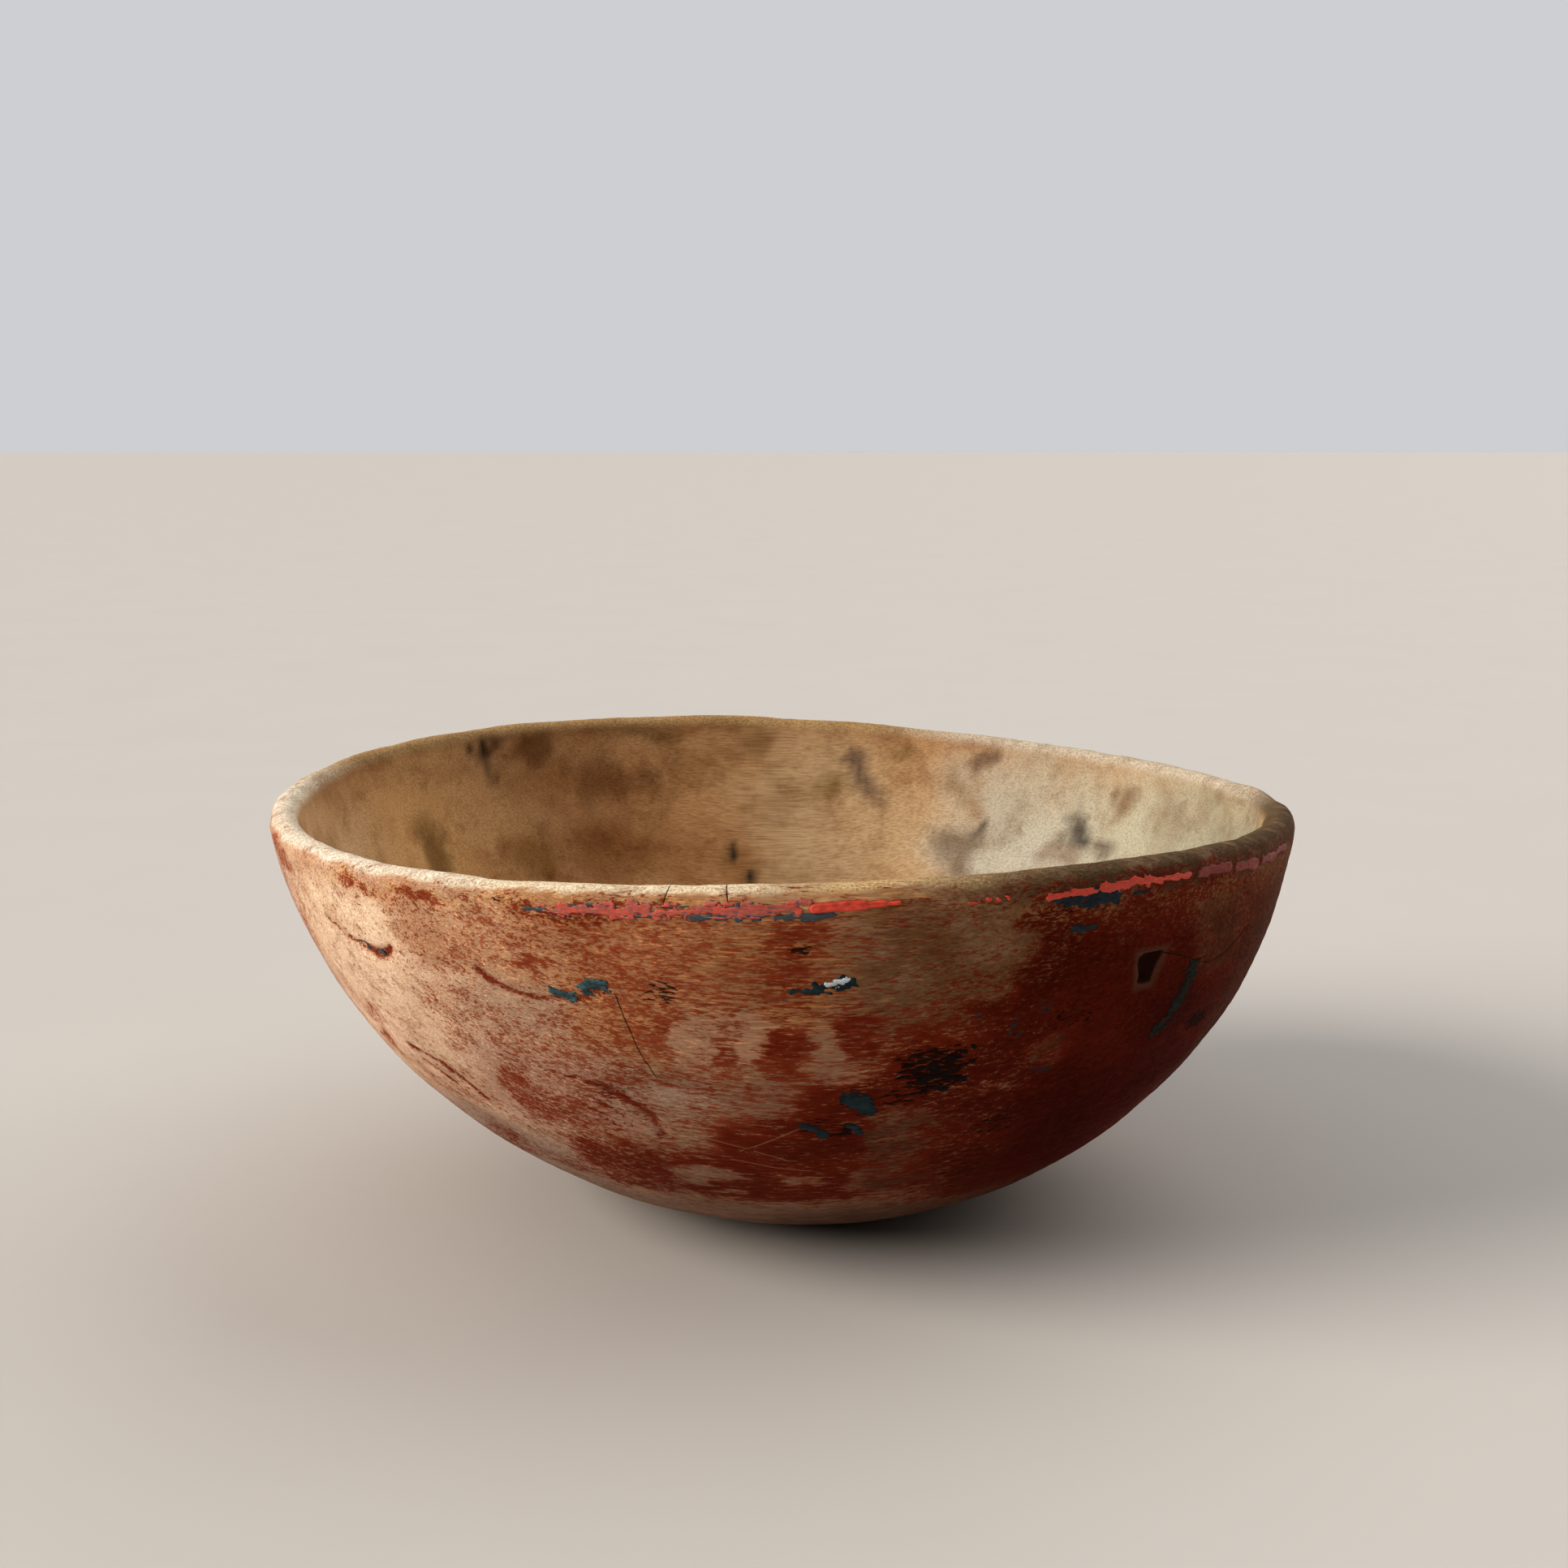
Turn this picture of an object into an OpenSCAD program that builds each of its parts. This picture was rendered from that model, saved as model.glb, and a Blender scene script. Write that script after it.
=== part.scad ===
// Turned wooden bowl with the remains of its painted rim line and blue paint.
// One block of wood, turned green, that dried slightly oval and with a warped rim.
// Origin: centre of the flat foot, on the surface that the bowl stands on. +Z is up.
// Angles go round the bowl from +X towards +Y. A drop is a height below the rim's crest.

/* [Bowl] */
// Mean outer radius at the rim
rim_radius = 120; // [90:1:150]
// Mean height of the rim's crest above the foot
rim_height = 102; // [80:1:130]
// Radius of the flat foot
foot_radius = 32; // [20:1:45]
// How far below the outside's widest level the rim stands, as a share of the ellipse's half height
rim_below_widest = 0.105; // [0.02:0.005:0.25]
// Wall thickness at the rim
rim_wall = 6.8; // [5:0.1:10]
// Height of the rounded crest above the straight wall
crest_height = 3.2; // [2:0.1:5]
// Thickness of the floor above the foot
floor_thickness = 9; // [7:0.5:14]

/* [Shrinkage of the dried wood] */
// Share by which the rim is longer along the grain and shorter across it
ovality = 0.05; // [0:0.005:0.08]
// Direction of the rim's long axis
oval_direction = -10; // [-90:1:90]
// Height of the rim's saddle warp above and below the mean
warp_height = 2.5; // [0:0.1:4]
// Direction of one of the rim's two high places
warp_direction = -60; // [-90:1:90]
// Height by which the rim leans up on one side and down on the other
lean_height = 0.7; // [0:0.1:2]
// Direction in which the rim leans up
lean_direction = 150; // [-180:1:180]
// How far the rim's centre stands off the foot's centre, towards -X
rim_offset = 5; // [0:0.5:10]

/* [Paint] */
// Thickness of the coral-red line
line_thickness = 0.35; // [0.3:0.05:0.6]
// Thickness of the blue, white and dark flakes
flake_thickness = 0.2; // [0.15:0.05:0.4]

/* [Hidden] */

// Colours
ochre_wood = "#A5553A";
coral_red = "#D74B3C";
slate_blue = "#324B5A";
teal_blue = "#3C6E78";
chalk_white = "#C8CDCD";
tarry_black = "#2A1C1A";

// Fineness of the bowl's mesh
segments = 96;
outer_rings = 15;
crest_rings = 6;
inner_rings = 14;
cut_below = 1;

// Gap between a paint film and the wood's flat facets, so that they never cut into each other
film_gap = 0.03;
// Gap between the blue paint and the coral paint over it
coat_gap = 0.02;
// Share of a flake's half width that is left at its two ends
blunt_end = 0.25;
// Fineness of a film: rows across, and length of each column
film_rows = 4;
film_step = 1.7;

// Ellipse of the outside, whose widest level lies above the rim
rim_sine = sqrt(1 - rim_below_widest * rim_below_widest);
outer_radius = rim_radius / rim_sine;
foot_cosine = sqrt(1 - pow(foot_radius / outer_radius, 2));
half_height = rim_height / (foot_cosine - rim_below_widest);
widest_z = rim_height + rim_below_widest * half_height;

// Ellipse of the inside, which has the same widest level
wall_top = rim_height - crest_height;
inner_half_height = widest_z - floor_thickness;
inner_radius = (outer_share(wall_top) * rim_radius - rim_wall)
    / sqrt(1 - pow((widest_z - wall_top) / inner_half_height, 2));
inner_top_angle = acos((widest_z - wall_top) / inner_half_height);

// Rim: how much wider it is, and how much higher, than its mean in direction a
function oval(a) = 1 + ovality * cos(2 * (a - oval_direction));
function rim_rise(a) = warp_height * cos(2 * (a - warp_direction)) + lean_height * cos(a - lean_direction);

// Radius of the outside at height z, as a share of the rim's radius
function outer_share(z) = outer_radius * sqrt(1 - pow((widest_z - z) / half_height, 2)) / rim_radius;

// Place of a point that lies in direction a, at height z and a share of the rim's radius,
// on a bowl that shrinks to an oval and whose rim warps
function place(a, z, share) =
    let (up = z / rim_height)
    [
        share * rim_radius * oval(a) * cos(a) - rim_offset * up,
        share * rim_radius * oval(a) * sin(a),
        z + rim_rise(a) * up * share
    ];

// Height and share of the radius for each ring of the wall: up the outside,
// over the rounded crest and down the inside
ring_list = [
    for (k = [0:outer_rings])
        let (
            low = acos((widest_z + cut_below) / half_height),
            high = acos((widest_z - wall_top) / half_height),
            angle = low + (high - low) * k / outer_rings,
            z = widest_z - half_height * cos(angle)
        )
        [z, outer_share(z)],
    for (k = [1:crest_rings - 1])
        let (angle = 180 * k / crest_rings)
        [
            wall_top + crest_height * sin(angle),
            outer_share(wall_top) - rim_wall / 2 * (1 - cos(angle)) / rim_radius
        ],
    for (k = [0:inner_rings - 1])
        let (angle = inner_top_angle * (1 - k / inner_rings))
        [
            widest_z - inner_half_height * cos(angle),
            inner_radius * sin(angle) / rim_radius
        ]
];

// Turned bowl: a closed skin of rings, with its foot cut flat
module bowl_body() {
    rings = len(ring_list);
    ring_points = [
        for (ring = ring_list)
            for (i = [0:segments - 1])
                place(360 * i / segments, ring[0], ring[1])
    ];
    points = concat(ring_points, [place(0, -cut_below, 0), place(0, floor_thickness, 0)]);
    base_middle = rings * segments;
    floor_middle = base_middle + 1;
    wall_faces = [
        for (k = [0:rings - 2])
            for (i = [0:segments - 1])
                let (j = (i + 1) % segments, low = k * segments, high = low + segments)
                for (face = [[low + i, high + i, high + j], [low + i, high + j, low + j]])
                    face
    ];
    base_faces = [
        for (i = [0:segments - 1])
            [base_middle, i, (i + 1) % segments]
    ];
    floor_faces = [
        for (i = [0:segments - 1])
            let (last = (rings - 1) * segments)
            [floor_middle, last + (i + 1) % segments, last + i]
    ];
    color(ochre_wood)
    difference() {
        polyhedron(points, concat(wall_faces, base_faces, floor_faces));
        translate([-rim_radius, -rim_radius, -3 * cut_below])
        cube([2 * rim_radius, 2 * rim_radius, 3 * cut_below]);
    }
}

// Point on the outside in direction a, a drop below the crest, and a height off the wood
function on_outside(a, drop, off) =
    let (
        z = rim_height - drop,
        flat = (widest_z - z) / half_height,
        slope = atan2(flat / half_height, sqrt(1 - flat * flat) / outer_radius)
    )
    place(a, z, outer_share(z))
    + off * [cos(slope) * cos(a), cos(slope) * sin(a), -sin(slope)];

// One flake of paint: a thin sheet that follows the outside from one end to the other.
// Each end is [direction, drop]. Its outline is a blunt-ended lens, which reaches the half
// width to both sides of the run between its ends, and off is the gap under it.
module flake(from, to, half_width, thickness, off = film_gap) {
    middle_z = rim_height - (from[1] + to[1]) / 2;
    mm_per_degree = rim_radius * outer_share(middle_z) * PI / 180;
    run = [(to[0] - from[0]) * mm_per_degree, to[1] - from[1]];
    run_length = norm(run);
    columns = max(4, ceil(run_length / film_step));
    row_points = [
        for (layer = [0, 1])
            for (i = [0:columns])
                for (j = [0:film_rows])
                    let (
                        along = i / columns,
                        across = 2 * j / film_rows - 1,
                        width = half_width * (blunt_end + (1 - blunt_end) * sqrt(sin(180 * along))),
                        side = width * across / run_length,
                        crown = 1 - 0.4 * across * across
                    )
                    on_outside(
                        from[0] + (run[0] * along - run[1] * side) / mm_per_degree,
                        from[1] + run[1] * along + run[0] * side,
                        off + layer * thickness * crown
                    )
    ];
    row = film_rows + 1;
    top = (columns + 1) * row;
    sheet_faces = [
        for (i = [0:columns - 1])
            for (j = [0:film_rows - 1])
                let (a = i * row + j, b = a + row)
                for (face = [[a, b, b + 1], [a, b + 1, a + 1]])
                    face
    ];
    lower_faces = [for (face = sheet_faces) [face[2], face[1], face[0]]];
    upper_faces = [for (face = sheet_faces) [face[0] + top, face[1] + top, face[2] + top]];
    rim = concat(
        [for (i = [0:columns]) i * row],
        [for (j = [1:film_rows]) columns * row + j],
        [for (i = [1:columns]) (columns - i) * row + film_rows],
        [for (j = [1:film_rows - 1]) film_rows - j]
    );
    edge_faces = [
        for (k = [0:len(rim) - 1])
            let (a = rim[k], b = rim[(k + 1) % len(rim)])
            for (face = [[b + top, a + top, a], [b, b + top, a]])
                face
    ];
    polyhedron(row_points, concat(lower_faces, upper_faces, edge_faces));
}

// A run of flakes in one paint, each as [from, to, half width]
module flakes(list, thickness, off = film_gap) {
    for (item = list)
        flake(item[0], item[1], item[2], thickness, off);
}

// Coral-red line under the rim, front: three pieces, the last one whole and bright
module coral_line_front() {
    color(coral_red)
    flakes([
        [[-112, 4.6], [-104.5, 3.9], 1.1],
        [[-104, 3.8], [-88.5, 4.0], 1.5],
        [[-88, 4.0], [-77.5, 4.0], 1.4]
    ], line_thickness, off = film_gap + flake_thickness + coat_gap);
}

// Beads of the line, between its front and right runs
module coral_line_specks() {
    color(coral_red)
    flakes([
        [[-70.6, 4.3], [-69.4, 4.3], 0.6],
        [[-68.8, 4.5], [-67.9, 4.5], 0.7],
        [[-67.3, 4.7], [-66.4, 4.8], 0.5]
    ], line_thickness);
}

// Coral-red line, right-hand run
module coral_line_right() {
    color(coral_red)
    flakes([
        [[-63, 5.0], [-56.5, 4.4], 1.2],
        [[-56, 4.3], [-49.4, 3.3], 1.1]
    ], line_thickness, off = film_gap + flake_thickness + coat_gap);
}

// Last flakes of the line towards the right end
module coral_line_end_flakes() {
    color(coral_red)
    flakes([
        [[-48.8, 3.1], [-44.6, 3.0], 1.1],
        [[-43.8, 3.0], [-38.4, 3.3], 1.2],
        [[-37.6, 3.4], [-32.2, 3.8], 1.2],
        [[-31.4, 3.9], [-20, 4.4], 1.1]
    ], line_thickness);
}

// Three worn stretches of the line on the far side
module coral_line_back() {
    color(coral_red)
    flakes([
        [[24, 4.4], [41, 4.2], 1.3],
        [[78, 4.0], [93, 4.2], 1.4],
        [[134, 4.3], [149, 4.1], 1.2]
    ], line_thickness);
}

// Slate-blue coat that shows along and under the front line
module slate_blue_under_front() {
    color(slate_blue)
    flakes([
        [[-117.5, 4.8], [-112.8, 4.4], 0.8],
        [[-97, 5.6], [-80.5, 5.4], 1.4]
    ], flake_thickness);
}

// Slate-blue coat under the right-hand run
module slate_blue_under_right() {
    color(slate_blue)
    flakes([
        [[-62.5, 6.2], [-50.5, 4.2], 1.5],
        [[-58.6, 10], [-54.8, 8.6], 1.2]
    ], flake_thickness);
}

// Flakes of blue paint on the left, the first one in a short gouge
module blue_flakes_left() {
    color(teal_blue)
    flakes([
        [[-141.5, 19.6], [-138.5, 20.6], 0.8],
        [[-115.6, 23.0], [-112.2, 24.0], 1.2],
        [[-111.6, 21.8], [-108.4, 21.0], 1.6]
    ], flake_thickness);
}

// Flake of blue paint in the middle
module blue_flake_centre() {
    color(slate_blue)
    flakes([
        [[-88.6, 22.2], [-82.0, 20.6], 1.1]
    ], flake_thickness);
}

// White fleck on the middle flake
module white_fleck() {
    color(chalk_white)
    flakes([
        [[-84.2, 21.0], [-82.8, 20.7], 0.5]
    ], flake_thickness, off = film_gap + flake_thickness + coat_gap);
}

// Flakes of blue paint low on the front
module blue_flakes_low() {
    color(teal_blue)
    flakes([
        [[-83.2, 48.2], [-78.8, 50.4], 2.8],
        [[-88.4, 56.0], [-84.6, 57.6], 1.3],
        [[-82.6, 57.0], [-80.6, 57.6], 1.0]
    ], flake_thickness);
}

// Long streak of blue paint down the right, in three stretches
module blue_streak_right() {
    color(slate_blue)
    flakes([
        [[-41.4, 26.5], [-40.5, 34.4], 0.9],
        [[-40.4, 35.2], [-40.0, 43.2], 1.2],
        [[-40.2, 44.0], [-41.2, 50.2], 1.5]
    ], flake_thickness);
}

// Blackened flakes of paint right of the middle
module dark_paint_patch() {
    color(tarry_black)
    flakes([
        [[-76.4, 40.5], [-73.8, 39.8], 1.3],
        [[-75.6, 44.6], [-72.6, 44.0], 1.5],
        [[-72.6, 38.2], [-70.4, 39.2], 1.6],
        [[-71.6, 43.6], [-68.4, 42.4], 1.9],
        [[-70.2, 48.4], [-67.6, 47.4], 1.2]
    ], flake_thickness);
}

// Flakes of blue paint on the far side
module blue_flakes_back() {
    color(teal_blue)
    flakes([
        [[33, 27.0], [37.5, 28.4], 1.5],
        [[88, 46.0], [92, 44.6], 2.0],
        [[117, 21.6], [121.5, 22.6], 1.3],
        [[151, 52.0], [154.5, 53.6], 1.8]
    ], flake_thickness);
}

bowl_body();
coral_line_front();
coral_line_specks();
coral_line_right();
coral_line_end_flakes();
coral_line_back();
slate_blue_under_front();
slate_blue_under_right();
blue_flakes_left();
blue_flake_centre();
white_fleck();
blue_flakes_low();
blue_streak_right();
dark_paint_patch();
blue_flakes_back();
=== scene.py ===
import math

import bpy
import numpy as np
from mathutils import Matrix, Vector


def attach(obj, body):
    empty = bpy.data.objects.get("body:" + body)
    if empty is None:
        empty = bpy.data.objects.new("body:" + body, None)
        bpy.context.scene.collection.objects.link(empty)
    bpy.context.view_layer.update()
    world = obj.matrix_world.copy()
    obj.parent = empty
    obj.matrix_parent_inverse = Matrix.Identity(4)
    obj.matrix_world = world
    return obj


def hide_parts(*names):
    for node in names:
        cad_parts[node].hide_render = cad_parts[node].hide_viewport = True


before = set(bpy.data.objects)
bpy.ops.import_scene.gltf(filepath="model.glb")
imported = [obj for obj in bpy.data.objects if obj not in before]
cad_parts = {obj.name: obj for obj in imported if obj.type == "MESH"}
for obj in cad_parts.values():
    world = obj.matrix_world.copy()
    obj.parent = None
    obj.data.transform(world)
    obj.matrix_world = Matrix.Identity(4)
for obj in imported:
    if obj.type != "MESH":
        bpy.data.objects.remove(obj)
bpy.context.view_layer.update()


# ----------------------------------------------
# Bowl. One piece of birch, turned green on a lathe with its fibres along X, that dried to an oval
# with a warped rim. It was washed with red ochre, which generations of hands have rubbed away.
# Lengths are in millimetres and directions in degrees from +X towards +Y until a mesh is made.
# ----------------------------------------------
rim_radius = 120
rim_height = 102
foot_radius = 32
rim_below_widest = 0.105
rim_wall = 6.8
crest_height = 3.2
floor_thickness = 9
ovality = 0.05
oval_direction = -10
warp_height = 2.5
warp_direction = -60
lean_height = 0.7
lean_direction = 150
rim_offset = 5
foot_edge = 0.3
foot_hollow = 0.4
hollow_radius = 27
ring_pitch = 3.4

outer_radius = rim_radius / math.sqrt(1 - rim_below_widest**2)
half_height = rim_height / (math.sqrt(1 - (foot_radius / outer_radius) ** 2) - rim_below_widest)
widest_z = rim_height + rim_below_widest * half_height
wall_top = rim_height - crest_height
wall_top_radius = outer_radius * math.sqrt(1 - ((widest_z - wall_top) / half_height) ** 2)
inner_half_height = widest_z - floor_thickness
inner_top_angle = math.acos((widest_z - wall_top) / inner_half_height)
inner_radius = (wall_top_radius - rim_wall) / math.sin(inner_top_angle)


def half_section(steps=1500):
    """The turned section as radius and height, from the middle of the underside to the middle of the
    inside. The outside is an ellipse that eases into the plane of the foot, which is slightly hollow; the
    crest is half an ellipse as wide as the wall; the inside is an ellipse with the same widest level."""
    low = np.linspace(0, math.acos((widest_z - wall_top) / half_height), steps)
    over = np.linspace(0, math.pi, steps // 5)[1:-1]
    back = np.linspace(inner_top_angle, 0, steps)
    radius = outer_radius * np.sin(low)
    height = widest_z - half_height * np.cos(low)
    height = (height + np.sqrt(height**2 + foot_edge**2)) / 2
    height += foot_hollow * np.clip(1 - (radius / hollow_radius) ** 2, 0, 1) ** 2
    crest_radius = wall_top_radius - rim_wall / 2 * (1 - np.cos(over))
    crest_z = wall_top + crest_height * np.sin(over)
    inside_z = widest_z - inner_half_height * np.cos(back)
    radius = np.concatenate([radius, crest_radius, inner_radius * np.sin(back)])
    return radius, np.concatenate([height, crest_z, inside_z])


section_radius, section_height = half_section()
section_steps = np.hypot(np.diff(section_radius), np.diff(section_height))
section_length = np.concatenate([[0], np.cumsum(section_steps)])
rim_length = section_length[np.argmax(section_height)]
out_radius = np.gradient(section_height, section_length)
out_height = -np.gradient(section_radius, section_length)


def section(down, values):
    """A value of the section at a length down the wall from the crest: positive outside, negative inside."""
    return np.interp(rim_length - down, section_length, values)


def down_wall(drop, side=1):
    """Length down the wall from the crest to a drop in height, outside (side 1) or inside (side -1)."""
    here = side * (rim_length - section_length) > 0
    order = np.argsort(-section_height[here])
    drops = rim_height - section_height[here][order]
    return np.interp(drop, drops, (rim_length - section_length[here])[order])


def ripple(place, wave, seed, waves=20):
    """Smooth noise of about -1 to 1: a sum of sines of nearly one wavelength, in random directions."""
    draw = np.random.default_rng(seed)
    direction = draw.normal(size=(3, waves))
    direction *= 2 * math.pi / wave * draw.uniform(0.6, 1.5, waves) / np.linalg.norm(direction, axis=0)
    return np.sin(place @ direction + draw.uniform(0, 2 * math.pi, waves)).sum(-1) / math.sqrt(waves)


def rise(value, low, high):
    """0 below low, 1 above high, and an S-shaped rise between them."""
    share = np.clip((value - low) / (high - low), 0, 1)
    return share * share * (3 - 2 * share)


def around(angle, middle):
    """Degrees from a middle direction, from -180 to 180."""
    return (angle - middle + 180) % 360 - 180


far_away = 1e6
too_short = 1e-6


def distance(angle, down, points):
    """Distance over the wood, in millimetres, from places (angle, down) to a line through (angle, drop)
    points: for each stretch the nearest point is the share of it that the place lies along, from 0 to 1."""
    line = [(a, down_wall(drop)) for a, drop in points]
    per_degree = section(down, section_radius) * math.pi / 180
    nearest = np.full(np.shape(angle), far_away)
    for (angle_a, down_a), (angle_b, down_b) in zip(line, line[1:] or line):
        across = around(angle, angle_a) * per_degree
        run, fall = (angle_b - angle_a) * per_degree, down_b - down_a
        share = np.clip((across * run + (down - down_a) * fall) / (run**2 + fall**2 + 1e-9), 0, 1)
        nearest = np.minimum(nearest, np.hypot(across - share * run, down - down_a - share * fall))
    return nearest


# Strokes that the gouge cut across the rings, where the ochre stayed: (angle, drop) points, half width, depth
gouge_strokes = [
    ([(-148.5, 16.5), (-146.2, 18)], 0.6, 0.3),
    ([(-145, 19.3), (-142.6, 20.6)], 0.9, 0.5),
    ([(-142.6, 20.6), (-140, 21.3), (-138.2, 21)], 1.6, 0.7),
    ([(-138.2, 20.8), (-136.8, 18.6)], 1.1, 0.5),
    ([(-144.5, 46.2), (-141.5, 47), (-138.6, 49)], 1.0, 0.3),
    ([(-138.6, 49), (-136.2, 52), (-134.4, 57)], 1.2, 0.3),
    ([(-143, 50.2), (-141.2, 52), (-139.2, 54.3)], 1.3, 0.3),
    ([(-124, 20.5), (-122.5, 22.8), (-120.4, 24.6)], 1.3, 0.3),
    ([(-120.4, 24.6), (-117, 25.4), (-112.5, 24.8), (-109, 21.6)], 0.9, 0.25),
    ([(-120.5, 43.5), (-116, 44.8)], 0.5, 0.25),
    ([(-116, 44.8), (-112.8, 47)], 1.0, 0.35),
    ([(-112.8, 47), (-110, 50), (-107.8, 54)], 1.7, 0.4),
    ([(-107.8, 54), (-107, 59)], 1.4, 0.3),
    ([(-117, 49), (-114.4, 50.6), (-112.3, 53.5), (-111.2, 57.5)], 0.6, 0.25),
    ([(-116.8, 52.4), (-114.8, 54.6), (-113.2, 58)], 0.5, 0.2),
    ([(-37.5, 42), (-34, 45), (-31.4, 49), (-30, 53.5)], 1.2, 0.3),
    ([(-36, 48), (-33.6, 50.5), (-32, 54)], 0.8, 0.2),
    ([(22, 33), (26, 36), (29, 41), (30.5, 47)], 1.0, 0.3),
    ([(26, 31), (30, 34.5), (33, 40)], 0.7, 0.25),
    ([(118, 58), (122, 60), (126, 64), (128, 69)], 1.1, 0.3),
    ([(68, 22), (72, 25.5), (78, 26), (82, 23)], 0.9, 0.35),
]
# Slot where a splinter has gone, drying cracks, and a chip out of the crest's inner side
slot_corners = [(-50.2, 20.4), (-46.8, 20.4), (-47.4, 27.5), (-49.3, 27.5)]
slot_depth = 1.8
cracks = [
    [(-107.8, 24), (-107.3, 30), (-106.6, 37), (-105.6, 42)],
    [(-46.5, 21), (-43, 23), (-40.5, 25), (-38, 26.2), (-35.5, 25.6), (-33, 23.6), (-31, 21)],
    [(61, 18), (61.6, 27), (62.4, 34)],
    [(-101, 0.2), (-101.2, 1.8)],
    [(-95, 0.3), (-94.9, 1.7)],
    [(47, 0.2), (47.4, 3)],
]
crack_half_width = 0.2
chip_angle = 4
chip_half_length = 6
chip_depth = 2


def section_places(angle, down):
    """Places of the true, round section before it dried."""
    turn, radius = np.radians(angle), section(down, section_radius)
    return np.stack([radius * np.cos(turn), radius * np.sin(turn), section(down, section_height)], -1)


def off_line(angle, down, start, end):
    """Signed distance from the straight line through two (angle, drop) points: the cross product of the way
    from its start with the way along it, over its length. The middle of the bowl, where a degree has no
    width, gets nought."""
    per_degree = section(down, section_radius) * math.pi / 180
    down_start, down_end = down_wall(start[1]), down_wall(end[1])
    run, fall = (end[0] - start[0]) * per_degree, down_end - down_start
    cross = around(angle, start[0]) * per_degree * fall - (down - down_start) * run
    return cross / np.maximum(np.hypot(run, fall), too_short)


def beyond_sides(angle, down, corners):
    """Millimetres beyond the sides of a convex outline of (angle, drop) corners, below nought inside it: the
    greatest of the distances outwards from its sides, and above and below it."""
    drops = down_wall(np.array([drop for _, drop in corners]))
    beyond = np.maximum(drops.min() - down, down - drops.max())
    for start, end in zip(corners, corners[1:] + corners[:1]):
        beyond = np.maximum(beyond, off_line(angle, down, start, end))
    return beyond


def relief(angle, down):
    """How far the wood stands off the true section: hand-tool flats and faint lathe rings, gouge strokes, the
    slot, cracks, a wavy worn crest and the chip in it."""
    place = section_places(angle, down)
    off = 0.16 * ripple(place * [0.6, 1, 1], 26, 1) + 0.04 * ripple(place * [0.5, 1, 1], 9, 2)
    wavy_rings = np.sin(2 * math.pi * down / ring_pitch + 0.8 * ripple(place, 60, 3))
    off += 0.03 * wavy_rings * rise(abs(down), 6, 16)
    off += np.where(down < 0, 0.12 * ripple(place, 18, 4), 0)
    for points, half_width, depth in gouge_strokes:
        off -= depth * (1 - rise(distance(angle, down, points), 0.3 * half_width, 1.5 * half_width))
    off -= slot_depth * (1 - rise(beyond_sides(angle, down, slot_corners), -1.2, 0.3))
    for points in cracks:
        off -= 0.25 * (1 - rise(distance(angle, down, points), 0, 3 * crack_half_width))
    crest = 1 - rise(abs(down), 2, 7)
    off += crest * (0.11 * ripple(place, 30, 5) + 0.04 * ripple(place, 7, 6) + 0.04 * ripple(place, 2.6, 7))
    along = around(angle, chip_angle) * rim_radius * math.pi / 180 / chip_half_length
    chipped = (1 - rise(abs(along), 0.7, 1)) * rise(down, -9, -7) * (1 - rise(down, -1.5, 1))
    return off - chip_depth * chipped * (1 + 0.3 * ripple(place, 4, 8))


def wood_surface(angle, down, lift=0.0):
    """Places in millimetres: the section, swung to the angle and pushed outwards by the relief and the lift,
    is stretched to the oval, leant by the rim's offset, and raised by the warp in proportion to height and
    radius. The foot's plane takes no relief, and near the axis nothing is pushed sideways."""
    turn, height = np.radians(angle), section(down, section_height)
    under = (down > 0) * (1 - rise(height, 0.3, 3))
    off = relief(angle, down) * (1 - under) + lift
    radius = section(down, section_radius)
    radius = radius + off * section(down, out_radius) * rise(radius, 1, 8)
    height = height + off * section(down, out_height)
    oval = 1 + ovality * np.cos(2 * np.radians(angle - oval_direction))
    warp = warp_height * np.cos(2 * np.radians(angle - warp_direction))
    warp = warp + lean_height * np.cos(np.radians(angle - lean_direction))
    up = height / rim_height
    x = radius * oval * np.cos(turn) - rim_offset * up
    return np.stack([x, radius * oval * np.sin(turn), height + warp * up * radius / rim_radius], -1)


# The mesh has closed rings, closest together at the rim, and columns closest together at the front, with
# extra columns at the fine checks in the rim
columns = 404
rings = 234
front_crowding = 22
stations = (np.arange(columns) + 0.5) / columns
wall_angles = 90 + 360 * stations + front_crowding * np.sin(2 * math.pi * stations)
check_angles = [(points[0][0] - 90) % 360 + 90 for points in cracks[3:]]
check_columns = [angle + nudge for angle in check_angles for nudge in (-0.35, -0.12, 0.12, 0.35)]
wall_angles = np.sort(np.concatenate([wall_angles, check_columns]))
near_crest = np.exp(-(((section_length - rim_length) / 6) ** 2))
crowding = 0.32 + 0.68 * (section_length < rim_length) + 2.2 * near_crest
crowding = np.where((section_length < rim_length) & (section_radius < foot_radius - 4), 0.35, crowding)
effort = np.concatenate([[0], np.cumsum(np.diff(section_length) * crowding[1:])])
ring_lengths = np.interp(np.linspace(0, effort[-1], rings + 2)[1:-1], effort, section_length)
angle_grid, down_grid = np.meshgrid(wall_angles, rim_length - ring_lengths)


def add_mesh(name, places, faces, material):
    """A smooth mesh object in metres from places in millimetres and faces as lists of corner numbers."""
    mesh = bpy.data.meshes.new(name)
    mesh.from_pydata((np.asarray(places) / 1000).tolist(), [], faces)
    mesh.polygons.foreach_set("use_smooth", [True] * len(mesh.polygons))
    mesh.materials.append(material)
    mesh.update()
    piece = bpy.data.objects.new(name, mesh)
    bpy.context.collection.objects.link(piece)
    return piece


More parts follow.
